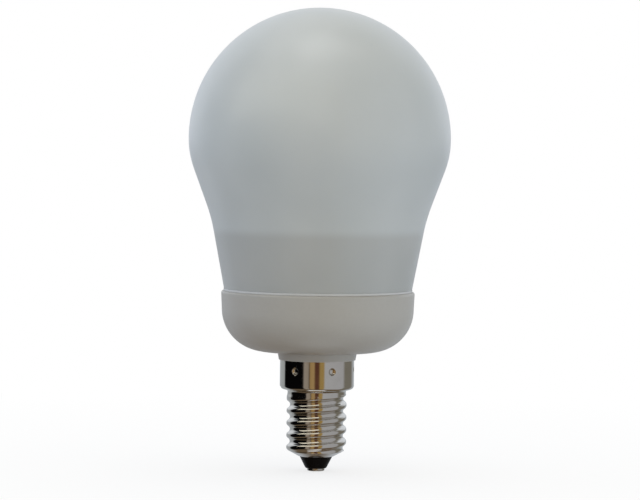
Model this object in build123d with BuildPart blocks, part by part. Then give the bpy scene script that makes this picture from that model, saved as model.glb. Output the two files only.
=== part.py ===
from build123d import *

import os
from math import acos, atan2, cos, degrees, radians, sin, sqrt

# Compact fluorescent bulb: an opal glass globe over a bridged discharge tube, a moulded
# housing with the ballast in it, and a rolled screw cap of the small 14 mm size.
# Millimetres. +Z runs up the axis to the crown of the globe, and the origin is the middle
# of the centre contact's face.

# Screw cap
CAP_HEIGHT = 25.55  # from the contact's face to the top of the skirt
CAP_WALL = 0.3
SKIRT_DIA = 17.0
SKIRT_HEIGHT = 6.55
SKIRT_CORNER = 0.9
SHOULDER_DROP = 0.5  # fall of the shoulder between the skirt and the barrel
BARREL_DIA = 13.4  # plain barrel above the thread
BARREL_HEIGHT = 0.7
BARREL_CORNER = 0.4
BARREL_BLEND = 0.8  # height over which the barrel widens to the thread's crests
BLEND_RADIUS = 1.5
THREAD_DIA = 13.8
THREAD_DEPTH = 0.8
THREAD_PITCH = 2.82
THREAD_LAND = 0.02  # how far the crests are worn flat
THREAD_PHASE = 71.5  # angle at which the lowest turn starts
THREAD_FADE_TURNS = 0.3  # part of a turn in which the top turn runs out
THREAD_FADE_ANGLE = 45
THREAD_LEAD_IN = 0.66  # part of a turn by which the thread starts below its lowest full crest
END_DIA = 8.2  # opening at the narrow end of the shell
END_CONE_HEIGHT = 1.5
CONE_ROUND = 0.8
TIP_HEIGHT = 3.4  # from the contact's face to the narrow end of the shell
STAKE_COUNT = 6
STAKE_DIA = 1.8
STAKE_DEPTH = 0.45
STAKE_DROP = 2.25  # below the top of the skirt
STAKE_ANGLE = -66

# Insulator and centre contact
CONTACT_DIA = 4.0
CONTACT_HEIGHT = 0.6
CONTACT_ROUND = 0.25
EYELET_WALL = 0.35
EYELET_LENGTH = 2.4
INSULATOR_TIP_DIA = 4.8
INSULATOR_TIP_ROUND = 0.4
INSULATOR_SEAT = 1.5  # length of the seat along the inside of the shell's end cone
INSULATOR_BACK = 0.6  # thickness behind the seat

# Housing
COLLAR_HEIGHT = 1.95
COLLAR_LIP = 0.3  # how far the collar stands proud of the skirt
COLLAR_FLARE = 0.35
COLLAR_ROUND = 0.4
HOUSING_DIA = 44.0
HOUSING_HEIGHT = 13.8
HOUSING_CORNER = 9.7
HOUSING_WALL = 1.5
RIM_FLARE = 0.2
RIM_WALL = 1.0
RIM_DEPTH = 3.8
RIM_ROUND = 0.55
RIM_BEVEL = 0.4
SPIGOT_WALL = 1.3

# Globe
GLOBE_DIA = 60.0
GLOBE_HEIGHT = 64.8  # from the housing's rim to the crown
GLASS_WALL = 0.8
GLOBE_SHOULDER_RADIUS = 20.0  # arc from the widest circle down to the throat
THROAT_INSET = 5.35  # throat's radius inside the globe's
THROAT_DROP = 18.1  # below the globe's widest circle
THROAT_BLEND = 40.0
LIP_INSET = 0.7  # glass inside the rim's outer edge, just above it
LIP_LIFT = 0.1  # start of the visible glass above the rim
LIP_ROUND = 1.2
CEMENT_WALL = 0.4
CEMENT_BED = 0.3

# Tube holder
HOLDER_HEIGHT = 13.2  # its top above the housing's rim
HOLDER_WALL = 1.2
HOLDER_TOP = 1.5
HOLDER_ROUND = 1.2
FLANGE_HEIGHT = 1.2
SOCKET_WALL = 0.8
SOCKET_DEPTH = 3.5
RIB_COUNT = 3
RIB_WIDTH = 1.6
RIB_REACH = 1.4
HOOK_REACH = 0.8
HOOK_HEIGHT = 1.6

# Discharge tube
TUBE_DIA = 9.0
TUBE_MARGIN = 2.1  # between the legs and the holder's wall
TUBE_HEADROOM = 8.5  # between the bends and the crown of the globe
TUBE_INSERT = 5.5  # depth of the legs below the holder's top
TUBE_END_ROUND = 2.0
BEND_COUNT = 3
BEND_ANGLE = -90  # direction that the first bend faces
BRIDGE_DIA = 4.0
BRIDGE_RISE = 5.0
LEAD_DIA = 0.5
LEAD_SPACING = 2.4

# Ballast board and what hangs below it
BOARD_DROP = 8.4  # below the underside of the holder's top
BOARD_THICK = 1.6
BOARD_MARGIN = 0.9  # between the outer components and the board's edge
PIN_DIA = 0.5
CAN_LENGTH = 20.0
CAN_ROUND = 0.8
CAN_BEAD_DROP = 2.2
CAN_BEAD_RADIUS = 0.5
CHOKE_ANGLE = 180
CHOKE_WIDTH = 12.0
CHOKE_RISE = 3.4  # its underside above the housing's floor
CHOKE_YOKE = 1.7
CHOKE_LEG = 3.0
BOBBIN_WALL = 0.6
BOBBIN_FLANGE = 0.8
BOBBIN_OVERHANG = 2.2
WINDING_DEPTH = 1.4
RING_ANGLE = 42
RING_DIA = 9.0
RING_BORE = 5.0
RING_HEIGHT = 4.0
RING_ROUND = 0.3
RING_WIRE_DIA = 0.5
RING_TURNS = (3, 3, 7)  # turns of the two drive windings and of the main winding
RING_TURN_STEP = 14
FILM_ANGLES = (-35, -95)
FILM_WIDTH = 10.0
FILM_THICK = 4.5
FILM_HEIGHT = 8.0
FILM_ROUND = 1.2
FILM_STAND = 0.8
TRANSISTOR_ANGLES = (84, 112)
TRANSISTOR_DIA = 4.6
TRANSISTOR_FLAT = 1.3  # from the body's axis to its flat face
TRANSISTOR_HEIGHT = 4.8
TRANSISTOR_STAND = 1.8
TRANSISTOR_PIN_SPACING = 1.27
DIODE_ANGLES = (-125, -102, -79, -56)
DIODE_DIA = 2.7
DIODE_LENGTH = 5.2
FUSE_ANGLE = 3
FUSE_DIA = 3.2
FUSE_LENGTH = 9.0
AXIAL_STAND = 0.8
AXIAL_LOOP = 1.0
AXIAL_GAP = 0.35
AXIAL_LEAD_DIA = 0.7
WIRE_DIA = 1.0
WIRE_BEND = 8.0
LIVE_ANGLE = -12
LIVE_DROP = 4.3  # bend of the live wire below the skirt's top
LIVE_REACH = 10.0  # height at which the live wire meets the axis
NEUTRAL_ANGLE = 130

# Clearances
BOND_GAP = 0.02  # beside cement
SLIDE_GAP = 0.1  # between pieces that are pushed together
SPIGOT_GAP = 0.05
SOCKET_GAP = 0.3
HOLDER_GAP = 0.2
BOARD_GAP = 0.3
CORE_GAP = 0.1
PART_GAP = 0.6  # between components

# Heights along the axis
STAKE_Z = CAP_HEIGHT - STAKE_DROP
SKIRT_END_Z = CAP_HEIGHT - SKIRT_HEIGHT
BARREL_TOP_Z = SKIRT_END_Z - SHOULDER_DROP
BARREL_END_Z = BARREL_TOP_Z - BARREL_HEIGHT
CREST_TOP_Z = BARREL_END_Z - BARREL_BLEND
CREST_END_Z = TIP_HEIGHT + END_CONE_HEIGHT
SPIGOT_END_Z = SKIRT_END_Z + SKIRT_CORNER + CAP_WALL
BASE_Z = CAP_HEIGHT + COLLAR_HEIGHT
FLOOR_Z = BASE_Z + HOUSING_WALL
RIM_Z = BASE_Z + HOUSING_HEIGHT
LEDGE_Z = RIM_Z - RIM_DEPTH
FLANGE_TOP_Z = LEDGE_Z + FLANGE_HEIGHT
GLASS_END_Z = FLANGE_TOP_Z + CEMENT_BED
LIP_Z = RIM_Z + LIP_LIFT
GLOBE_TOP_Z = RIM_Z + GLOBE_HEIGHT
HOLDER_TOP_Z = RIM_Z + HOLDER_HEIGHT
PLATE_Z = HOLDER_TOP_Z - HOLDER_TOP
SOCKET_Z = PLATE_Z - SOCKET_DEPTH
BOARD_TOP_Z = PLATE_Z - BOARD_DROP
BOARD_Z = BOARD_TOP_Z - BOARD_THICK
TUBE_END_Z = HOLDER_TOP_Z - TUBE_INSERT
TUBE_TOP_Z = GLOBE_TOP_Z - GLASS_WALL - TUBE_HEADROOM

# Radii, from the cap outwards and from the rim inwards
SKIRT_R = SKIRT_DIA / 2
BARREL_R = BARREL_DIA / 2
CREST_R = THREAD_DIA / 2
END_R = END_DIA / 2
SPIGOT_R = SKIRT_R - CAP_WALL - SPIGOT_GAP
SPIGOT_BORE_R = SPIGOT_R - SPIGOT_WALL
COLLAR_R = SKIRT_R + COLLAR_LIP
HOUSING_R = HOUSING_DIA / 2
RIM_R = HOUSING_R + RIM_FLARE
RIM_BORE_R = HOUSING_R + RIM_FLARE - RIM_WALL
NECK_R = RIM_BORE_R - CEMENT_WALL
LIP_R = RIM_R - LIP_INSET
HOLDER_R = NECK_R - GLASS_WALL - HOLDER_GAP
HOLDER_BORE_R = HOLDER_R - HOLDER_WALL
BOARD_R = HOLDER_BORE_R - BOARD_GAP
TUBE_R = TUBE_DIA / 2
SOCKET_BORE_R = TUBE_R + SOCKET_GAP
LEG_CIRCLE_R = HOLDER_BORE_R - TUBE_MARGIN - TUBE_R
WIRE_R = WIRE_DIA / 2
WIRE_CIRCLE_R = BARREL_R - CAP_WALL - SPIGOT_GAP - WIRE_R
CAN_R = WIRE_CIRCLE_R - WIRE_R - AXIAL_GAP
EYELET_BORE_R = WIRE_R + SPIGOT_GAP
EYELET_R = EYELET_BORE_R + EYELET_WALL
LEG_STEP = 180 / BEND_COUNT
CHORD = 2 * LEG_CIRCLE_R * sin(radians(LEG_STEP / 2))
CHORD_R = LEG_CIRCLE_R * cos(radians(LEG_STEP / 2))
RIM_PART_R = BOARD_R - BOARD_MARGIN

# The glass turns out of its straight neck at 45 degrees to the lip
FLARE_Z = LIP_Z - (LIP_R - NECK_R)
CEMENT_TOP_Z = FLARE_Z - LIP_ROUND / 2


def polar(radius, angle, height=0):
    return Vector(radius * cos(radians(angle)), radius * sin(radians(angle)), height)


def finish(piece, name):
    piece.part.label = name
    export_step(piece.part, f"parts/{name}.step")


os.makedirs("parts", exist_ok=True)

# The thread is a wave of equal crest and root arcs, so one radius gives its whole section
WAVE_RADIUS = ((THREAD_PITCH / 2) ** 2 + THREAD_DEPTH**2) / (4 * THREAD_DEPTH)
WAVE_EDGE = sqrt(WAVE_RADIUS**2 - (WAVE_RADIUS - THREAD_LAND / 2) ** 2)
GROOVE_START_Z = CREST_END_Z - THREAD_PITCH * THREAD_LEAD_IN
GROOVE_END_Z = CREST_TOP_Z - THREAD_DEPTH / 2
GROOVE_TURNS = (GROOVE_END_Z - GROOVE_START_Z) / THREAD_PITCH

# The shell's end cone, with the direction along it and the direction into it
CONE_RUN = Vector(CREST_R - THREAD_LAND - END_R, END_CONE_HEIGHT).normalized()
CONE_INWARD = Vector(-CONE_RUN.Y, CONE_RUN.X)
CONE_END = Vector(END_R, TIP_HEIGHT)
CONE_BORE = CONE_END + CONE_INWARD * CAP_WALL

# A stake is a spherical dent, whose back stands one wall further in
STAKE_SPHERE_R = ((STAKE_DIA / 2) ** 2 + STAKE_DEPTH**2) / (2 * STAKE_DEPTH)
STAKE_CIRCLE_R = SKIRT_R - STAKE_DEPTH + STAKE_SPHERE_R


def shell_face(inset):
    """Half section of the shell, filled to the axis, one inset inside its outer skin."""
    with BuildSketch(Plane.XZ) as half:
        with BuildLine() as outline:
            FilletPolyline(
                (SKIRT_R, CAP_HEIGHT),
                (SKIRT_R, SKIRT_END_Z),
                (BARREL_R, BARREL_TOP_Z),
                (BARREL_R, BARREL_END_Z),
                (CREST_R - THREAD_LAND, CREST_TOP_Z),
                (CREST_R - THREAD_LAND, CREST_END_Z),
                (END_R, TIP_HEIGHT),
                radius=[SKIRT_CORNER, BARREL_CORNER, BLEND_RADIUS, BLEND_RADIUS, CONE_ROUND],
            )
            if inset:
                offset(amount=inset, side=Side.RIGHT, closed=False, mode=Mode.REPLACE)
            skirt_end = outline.wire() @ 0
            cone_end = outline.wire() @ 1
            Polyline(skirt_end, (0, skirt_end.Y), (0, cone_end.Y), cone_end)
        make_face()
    return half.sketch


def groove_face(plane, inset):
    """Section of the valley between two crests, one inset inside the shell's outer skin."""
    crest = Vector(-WAVE_RADIUS, THREAD_PITCH / 2)
    root = Vector(WAVE_RADIUS - THREAD_DEPTH, 0)
    crest_radius = WAVE_RADIUS - inset
    flank = crest + (root - crest).normalized() * crest_radius
    edge_x = -WAVE_RADIUS + sqrt(crest_radius**2 - WAVE_EDGE**2)
    edge_y = THREAD_PITCH / 2 - WAVE_EDGE
    with BuildSketch(plane) as valley:
        with BuildLine():
            RadiusArc((edge_x, edge_y), (flank.X, flank.Y), crest_radius)
            ThreePointArc((flank.X, flank.Y), (-THREAD_DEPTH - inset, 0), (flank.X, -flank.Y))
            RadiusArc((flank.X, -flank.Y), (edge_x, -edge_y), crest_radius)
            Polyline((edge_x, -edge_y), (THREAD_DEPTH, -edge_y), (THREAD_DEPTH, edge_y), (edge_x, edge_y))
        make_face()
    return valley.sketch


def groove_path(start_z, start_angle, turns, cone_angle=0):
    with BuildLine() as line:
        Helix(THREAD_PITCH, THREAD_PITCH * turns, CREST_R, center=(0, 0, start_z), cone_angle=cone_angle)
    return line.edge().rotate(Axis.Z, start_angle)


# The full thread, then its run-out, which starts on the very section where the full thread ends
FADE_PHASE = THREAD_PHASE + 360 * GROOVE_TURNS
FULL_PATH = groove_path(GROOVE_START_Z, THREAD_PHASE, GROOVE_TURNS)
FADE_PATH = groove_path(GROOVE_END_Z, FADE_PHASE, THREAD_FADE_TURNS, THREAD_FADE_ANGLE)
GROOVES = (
    (FULL_PATH, Plane(origin=FULL_PATH @ 0, x_dir=polar(1, THREAD_PHASE), z_dir=FULL_PATH % 0)),
    (FADE_PATH, Plane(origin=FULL_PATH @ 1, x_dir=polar(1, FADE_PHASE), z_dir=FULL_PATH % 1)),
)

# Inside of the shell, which follows the thread and the stakes one wall further in
with BuildPart() as shell_bore:
    revolve(shell_face(CAP_WALL), axis=Axis.Z)
    for path, plane in GROOVES:
        sweep(groove_face(plane, CAP_WALL), path=path, is_frenet=True, mode=Mode.SUBTRACT)
    with Locations((0, 0, STAKE_Z)):
        with PolarLocations(STAKE_CIRCLE_R, STAKE_COUNT, start_angle=STAKE_ANGLE):
            Sphere(STAKE_SPHERE_R + CAP_WALL, mode=Mode.SUBTRACT)

# Screw shell: rolled sheet with a wide skirt, staked to the housing, and a knuckle thread
with BuildPart() as screw_shell:
    revolve(shell_face(0), axis=Axis.Z)
    for path, plane in GROOVES:
        sweep(groove_face(plane, 0), path=path, is_frenet=True, mode=Mode.SUBTRACT)
    with Locations((0, 0, STAKE_Z)):
        with PolarLocations(STAKE_CIRCLE_R, STAKE_COUNT, start_angle=STAKE_ANGLE):
            Sphere(STAKE_SPHERE_R, mode=Mode.SUBTRACT)
    add(shell_bore.part, mode=Mode.SUBTRACT)
    with BuildSketch(Plane.XY.offset(TIP_HEIGHT)):
        Circle(CONE_BORE.X)
    extrude(amount=CONE_BORE.Y - TIP_HEIGHT, mode=Mode.SUBTRACT)
finish(screw_shell, "screw_shell")

# Insulator: black moulded end, seated on the inside of the shell's cone
with BuildPart() as cap_insulator:
    seat_start = CONE_END + CONE_INWARD * (CAP_WALL + SLIDE_GAP)
    seat_end = seat_start + CONE_RUN * INSULATOR_SEAT
    back_z = seat_end.Y + INSULATOR_BACK
    with BuildSketch(Plane.XZ):
        with BuildLine():
            Polyline(
                (EYELET_R + SPIGOT_GAP, CONTACT_HEIGHT),
                (INSULATOR_TIP_DIA / 2, CONTACT_HEIGHT),
                (seat_start.X - SLIDE_GAP, TIP_HEIGHT),
                seat_start,
                seat_end,
                (seat_end.X, back_z),
                (EYELET_R + SPIGOT_GAP, back_z),
                close=True,
            )
        make_face()
    revolve(axis=Axis.Z)
    tip_edges = cap_insulator.edges().filter_by(GeomType.CIRCLE).group_by(Axis.Z)[0]
    fillet(tip_edges.sort_by(SortBy.RADIUS)[-1], INSULATOR_TIP_ROUND)
finish(cap_insulator, "cap_insulator")

# Centre contact: flat head with a hollow stem that takes the live wire
with BuildPart() as centre_contact:
    with BuildSketch():
        Circle(CONTACT_DIA / 2)
    extrude(amount=CONTACT_HEIGHT)
    fillet(centre_contact.edges().group_by(Axis.Z)[0], CONTACT_ROUND)
    with BuildSketch(Plane.XY.offset(CONTACT_HEIGHT)):
        Circle(EYELET_R)
        Circle(EYELET_BORE_R, mode=Mode.SUBTRACT)
    extrude(amount=EYELET_LENGTH)
finish(centre_contact, "centre_contact")

# Housing: moulded cup with a rim for the globe, a collar, and a spigot inside the cap
with BuildPart() as housing:
    corner_r = HOUSING_R - HOUSING_CORNER
    corner_z = BASE_Z + HOUSING_CORNER
    with BuildSketch(Plane.XZ):
        with BuildLine():
            Polyline(
                (0, RIM_Z),
                (0, SPIGOT_END_Z),
                (SPIGOT_R, SPIGOT_END_Z),
                (SPIGOT_R, CAP_HEIGHT),
                (COLLAR_R, CAP_HEIGHT),
                (COLLAR_R + COLLAR_FLARE, BASE_Z),
                (corner_r, BASE_Z),
            )
            CenterArc((corner_r, corner_z), HOUSING_CORNER, -90, 90)
            Polyline((HOUSING_R, corner_z), (RIM_R, RIM_Z), (0, RIM_Z))
        make_face()
    revolve(axis=Axis.Z)
    # Hollow of the cup, one wall inside its rounded corner
    with BuildSketch(Plane.XZ):
        with BuildLine():
            Polyline((HOUSING_R - HOUSING_WALL, corner_z), (HOUSING_R - HOUSING_WALL, RIM_Z), (0, RIM_Z))
            Polyline((0, RIM_Z), (0, FLOOR_Z), (corner_r, FLOOR_Z))
            CenterArc((corner_r, corner_z), HOUSING_CORNER - HOUSING_WALL, -90, 90)
        make_face()
    revolve(axis=Axis.Z, mode=Mode.SUBTRACT)
    # Rebate of the rim and bore of the spigot
    with BuildSketch(Plane.XY.offset(LEDGE_Z)):
        Circle(RIM_BORE_R)
    extrude(amount=RIM_DEPTH, mode=Mode.SUBTRACT)
    with BuildSketch(Plane.XY.offset(SPIGOT_END_Z)):
        Circle(SPIGOT_BORE_R)
    extrude(amount=FLOOR_Z - SPIGOT_END_Z, mode=Mode.SUBTRACT)
    # Pockets behind the stakes
    with Locations((0, 0, STAKE_Z)):
        with PolarLocations(STAKE_CIRCLE_R, STAKE_COUNT, start_angle=STAKE_ANGLE):
            Sphere(STAKE_SPHERE_R + CAP_WALL + SPIGOT_GAP, mode=Mode.SUBTRACT)
    rim_edges = housing.edges().filter_by(GeomType.CIRCLE).group_by(Axis.Z)[-1].sort_by(SortBy.RADIUS)
    fillet(rim_edges[-1], RIM_ROUND)
    chamfer(rim_edges[0], RIM_BEVEL)
    base_edges = housing.edges().filter_by_position(Axis.Z, BASE_Z - BOND_GAP, BASE_Z + BOND_GAP)
    fillet(base_edges.sort_by(SortBy.RADIUS)[0], COLLAR_ROUND)
finish(housing, "housing")

# Globe: blown opal glass, a sphere that narrows through a throat to a neck inside the rim
with BuildPart() as globe_cover:
    globe_r = GLOBE_DIA / 2
    globe_z = GLOBE_TOP_Z - globe_r
    throat = Vector(globe_r - THROAT_INSET, globe_z - THROAT_DROP)
    shoulder_centre = Vector(globe_r - GLOBE_SHOULDER_RADIUS, globe_z)
    # The line up from the throat touches the shoulder's arc at this angle below its middle
    to_throat = throat - shoulder_centre
    touch = atan2(to_throat.Y, to_throat.X) + acos(GLOBE_SHOULDER_RADIUS / to_throat.length)
    touch_point = shoulder_centre + Vector(cos(touch), sin(touch)) * GLOBE_SHOULDER_RADIUS
    with BuildSketch(Plane.XZ):
        with BuildLine():
            FilletPolyline(
                (NECK_R, GLASS_END_Z),
                (NECK_R, FLARE_Z),
                (LIP_R, LIP_Z),
                throat,
                touch_point,
                radius=[LIP_ROUND, LIP_ROUND, THROAT_BLEND],
            )
            CenterArc(shoulder_centre, GLOBE_SHOULDER_RADIUS, degrees(touch), -degrees(touch))
            CenterArc((0, globe_z), globe_r, 0, 90)
            offset(amount=GLASS_WALL, side=Side.LEFT)
        make_face()
    revolve(axis=Axis.Z)
finish(globe_cover, "globe_cover")

# Cement: silicone bed and ring that hold the globe's neck in the rim
with BuildPart() as globe_cement:
    with BuildSketch(Plane.XZ):
        with BuildLine():
            Polyline(
                (HOLDER_R + BOND_GAP, FLANGE_TOP_Z),
                (RIM_BORE_R - BOND_GAP, FLANGE_TOP_Z),
                (RIM_BORE_R - BOND_GAP, CEMENT_TOP_Z),
                (NECK_R + BOND_GAP, CEMENT_TOP_Z),
                (NECK_R + BOND_GAP, GLASS_END_Z),
                (HOLDER_R + BOND_GAP, GLASS_END_Z),
                close=True,
            )
        make_face()
    revolve(axis=Axis.Z)
finish(globe_cement, "globe_cement")

# Tube holder: inverted cup on the housing's ledge, with a socket for each leg of the tube
with BuildPart() as tube_holder:
    with BuildSketch(Plane.XZ):
        with BuildLine():
            Polyline(
                (0, HOLDER_TOP_Z),
                (HOLDER_R, HOLDER_TOP_Z),
                (HOLDER_R, FLANGE_TOP_Z),
                (RIM_BORE_R - SLIDE_GAP, FLANGE_TOP_Z),
                (RIM_BORE_R - SLIDE_GAP, LEDGE_Z),
                (HOLDER_BORE_R, LEDGE_Z),
                (HOLDER_BORE_R, PLATE_Z),
                (0, PLATE_Z),
                close=True,
            )
        make_face()
    revolve(axis=Axis.Z)
    fillet(tube_holder.edges().group_by(Axis.Z)[-1], HOLDER_ROUND)
    with BuildSketch(Plane.XY.offset(SOCKET_Z)):
        with PolarLocations(LEG_CIRCLE_R, 2 * BEND_COUNT, start_angle=BEND_ANGLE + LEG_STEP / 2):
            Circle(SOCKET_BORE_R + SOCKET_WALL)
    extrude(amount=SOCKET_DEPTH)
    with BuildSketch(Plane.XY.offset(SOCKET_Z)):
        with PolarLocations(LEG_CIRCLE_R, 2 * BEND_COUNT, start_angle=BEND_ANGLE + LEG_STEP / 2):
            Circle(SOCKET_BORE_R)
    extrude(amount=HOLDER_TOP_Z - SOCKET_Z, mode=Mode.SUBTRACT)
    # Ribs that the board rests against, and hooks that it snaps behind
    with BuildSketch(Plane.XY.offset(BOARD_TOP_Z)):
        with PolarLocations(HOLDER_BORE_R - RIB_REACH / 2, RIB_COUNT, start_angle=BEND_ANGLE):
            Rectangle(RIB_REACH + HOLDER_WALL, RIB_WIDTH)
    extrude(amount=BOARD_DROP)
    hook_z = BOARD_Z - SLIDE_GAP
    for rib in range(RIB_COUNT):
        hook_angle = BEND_ANGLE + (rib + 0.5) * 360 / RIB_COUNT
        hook_side = polar(1, hook_angle + 90)
        hook_plane = Plane(origin=hook_side * (-RIB_WIDTH / 2), x_dir=polar(1, hook_angle), z_dir=-hook_side)
        with BuildSketch(hook_plane):
            with BuildLine():
                Polyline(
                    (HOLDER_BORE_R + HOLDER_WALL / 2, hook_z),
                    (HOLDER_BORE_R - HOOK_REACH, hook_z),
                    (HOLDER_BORE_R + HOLDER_WALL / 2, hook_z - HOOK_HEIGHT),
                    close=True,
                )
            make_face()
        extrude(amount=-RIB_WIDTH)
finish(tube_holder, "tube_holder")

# Discharge tube: bends on a circle, joined by bridges near their feet, sealed as one piece
with BuildPart() as discharge_tube:
    arch_z = TUBE_TOP_Z - TUBE_R - CHORD / 2
    for bend in range(BEND_COUNT):
        facing = BEND_ANGLE + bend * 2 * LEG_STEP
        bend_plane = Plane(origin=polar(CHORD_R, facing), x_dir=polar(1, facing + 90), z_dir=polar(1, facing))
        with BuildLine(bend_plane) as bend_line:
            Line((-CHORD / 2, TUBE_END_Z), (-CHORD / 2, arch_z))
            CenterArc((0, arch_z), CHORD / 2, 180, -180)
            Line((CHORD / 2, arch_z), (CHORD / 2, TUBE_END_Z))
        bend_path = bend_line.wire()
        with BuildSketch(Plane(origin=bend_path @ 0, z_dir=bend_path % 0)):
            Circle(TUBE_R)
        sweep(path=bend_path)
    fillet(discharge_tube.edges().group_by(Axis.Z)[0], TUBE_END_ROUND)
    for bridge in range(BEND_COUNT - 1):
        foot_angle = BEND_ANGLE + bridge * 2 * LEG_STEP + LEG_STEP / 2
        foot = polar(LEG_CIRCLE_R, foot_angle, HOLDER_TOP_Z + BRIDGE_RISE)
        next_foot = polar(LEG_CIRCLE_R, foot_angle + LEG_STEP, HOLDER_TOP_Z + BRIDGE_RISE)
        with BuildSketch(Plane(origin=foot, z_dir=next_foot - foot)):
            Circle(BRIDGE_DIA / 2)
        extrude(amount=CHORD)
finish(discharge_tube, "discharge_tube")

# Cement sleeves that hold the legs in their sockets
with BuildPart() as tube_cement:
    with BuildSketch(Plane.XY.offset(SOCKET_Z)):
        with PolarLocations(LEG_CIRCLE_R, 2 * BEND_COUNT, start_angle=BEND_ANGLE + LEG_STEP / 2):
            Circle(SOCKET_BORE_R - BOND_GAP)
            Circle(TUBE_R + BOND_GAP, mode=Mode.SUBTRACT)
    extrude(amount=HOLDER_TOP_Z - SOCKET_Z)
finish(tube_cement, "tube_cement")

# Filament leads, a pair from the foot at each open end of the tube down to the board
with BuildPart() as tube_leads:
    for foot_angle in (BEND_ANGLE - LEG_STEP / 2, BEND_ANGLE - 3 * LEG_STEP / 2):
        lead_foot = polar(LEG_CIRCLE_R, foot_angle, BOARD_TOP_Z)
        with BuildSketch(Plane(origin=lead_foot, x_dir=polar(1, foot_angle + 90))):
            with GridLocations(LEAD_SPACING, 0, 2, 1):
                Circle(LEAD_DIA / 2)
        extrude(amount=TUBE_END_Z - BOARD_TOP_Z)
finish(tube_leads, "tube_leads")

# Ballast board
with BuildPart() as ballast_board:
    with BuildSketch(Plane.XY.offset(BOARD_Z)):
        Circle(BOARD_R)
    extrude(amount=BOARD_THICK)
finish(ballast_board, "ballast_board")

# Smoothing capacitor: rolled can that reaches down into the spigot
with BuildPart() as smoothing_capacitor:
    with BuildSketch(Plane.XY.offset(BOARD_Z)):
        Circle(CAN_R)
    extrude(amount=-CAN_LENGTH)
    fillet(smoothing_capacitor.edges().group_by(Axis.Z)[0], CAN_ROUND)
    with BuildSketch(Plane.XZ):
        with Locations((CAN_R + CAN_BEAD_RADIUS / 2, BOARD_Z - CAN_BEAD_DROP)):
            Circle(CAN_BEAD_RADIUS)
    revolve(axis=Axis.Z, mode=Mode.SUBTRACT)
finish(smoothing_capacitor, "smoothing_capacitor")

# Choke: two ferrite halves around a moulded bobbin, with the winding between its flanges.
# It fills the room between the can and the board's edge.
CHOKE_HEIGHT = BOARD_Z - FLOOR_Z - CHOKE_RISE
BOBBIN_WIDTH = CHOKE_WIDTH - 2 * CHOKE_YOKE - 2 * CORE_GAP
BOBBIN_HEIGHT = CHOKE_HEIGHT - 2 * CHOKE_YOKE - 2 * CORE_GAP
BOBBIN_IN_R = CAN_R + PART_GAP
BOBBIN_OUT_R = sqrt(RIM_PART_R**2 - (BOBBIN_WIDTH / 2) ** 2)
BOBBIN_DEPTH = BOBBIN_OUT_R - BOBBIN_IN_R
CHOKE_DEPTH = BOBBIN_DEPTH - 2 * BOBBIN_OVERHANG
CHOKE_CENTRE = polar((BOBBIN_IN_R + BOBBIN_OUT_R) / 2, CHOKE_ANGLE, BOARD_Z)
CHOKE_PLANE = Plane(origin=CHOKE_CENTRE, x_dir=polar(1, CHOKE_ANGLE))
CHOKE_FRONT = Plane(origin=CHOKE_CENTRE, x_dir=polar(1, CHOKE_ANGLE + 90), z_dir=polar(1, CHOKE_ANGLE))
FORMER_WIDTH = CHOKE_LEG + 2 * (CORE_GAP + BOBBIN_WALL)
FORMER_DEPTH = CHOKE_DEPTH + 2 * (CORE_GAP + BOBBIN_WALL)
BOBBIN_TOP = -CHOKE_YOKE - CORE_GAP
BOBBIN_END = BOBBIN_TOP - BOBBIN_HEIGHT

with BuildPart() as choke_core:
    window_width = (CHOKE_WIDTH - CHOKE_LEG) / 2 - CHOKE_YOKE
    window_height = CHOKE_HEIGHT - 2 * CHOKE_YOKE
    with BuildSketch(CHOKE_FRONT):
        with Locations((0, -CHOKE_HEIGHT / 2)):
            Rectangle(CHOKE_WIDTH, CHOKE_HEIGHT)
            with GridLocations(CHOKE_LEG + window_width, 0, 2, 1):
                Rectangle(window_width, window_height, mode=Mode.SUBTRACT)
    extrude(amount=CHOKE_DEPTH / 2, both=True)
    split(bisect_by=CHOKE_PLANE.offset(-CHOKE_HEIGHT / 2), keep=Keep.BOTH)
finish(choke_core, "choke_core")

with BuildPart() as choke_bobbin:
    for flange_z in (BOBBIN_TOP - BOBBIN_FLANGE, BOBBIN_END):
        with BuildSketch(CHOKE_PLANE.offset(flange_z)):
            Rectangle(BOBBIN_DEPTH, BOBBIN_WIDTH)
        extrude(amount=BOBBIN_FLANGE)
    with BuildSketch(CHOKE_PLANE.offset(BOBBIN_END)):
        Rectangle(FORMER_DEPTH, FORMER_WIDTH)
    extrude(amount=BOBBIN_HEIGHT)
    with BuildSketch(CHOKE_PLANE.offset(BOBBIN_END)):
        Rectangle(FORMER_DEPTH - 2 * BOBBIN_WALL, FORMER_WIDTH - 2 * BOBBIN_WALL)
    extrude(amount=BOBBIN_HEIGHT, mode=Mode.SUBTRACT)
finish(choke_bobbin, "choke_bobbin")

with BuildPart() as choke_winding:
    winding_height = BOBBIN_HEIGHT - 2 * BOBBIN_FLANGE - 2 * BOND_GAP
    with BuildSketch(CHOKE_PLANE.offset(BOBBIN_END + BOBBIN_FLANGE + BOND_GAP)):
        RectangleRounded(FORMER_DEPTH + 2 * WINDING_DEPTH, FORMER_WIDTH + 2 * WINDING_DEPTH, WINDING_DEPTH)
        Rectangle(FORMER_DEPTH + 2 * BOND_GAP, FORMER_WIDTH + 2 * BOND_GAP, mode=Mode.SUBTRACT)
    extrude(amount=winding_height)
finish(choke_winding, "choke_winding")

# Drive transformer: a ferrite ring with three short windings
RING_WIRE_R = RING_WIRE_DIA / 2
RING_CIRCLE_R = RIM_PART_R - RING_DIA / 2 - RING_WIRE_DIA
RING_CENTRE = polar(RING_CIRCLE_R, RING_ANGLE, BOARD_Z)
RING_TOP = -RING_WIRE_DIA - BOND_GAP

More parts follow.
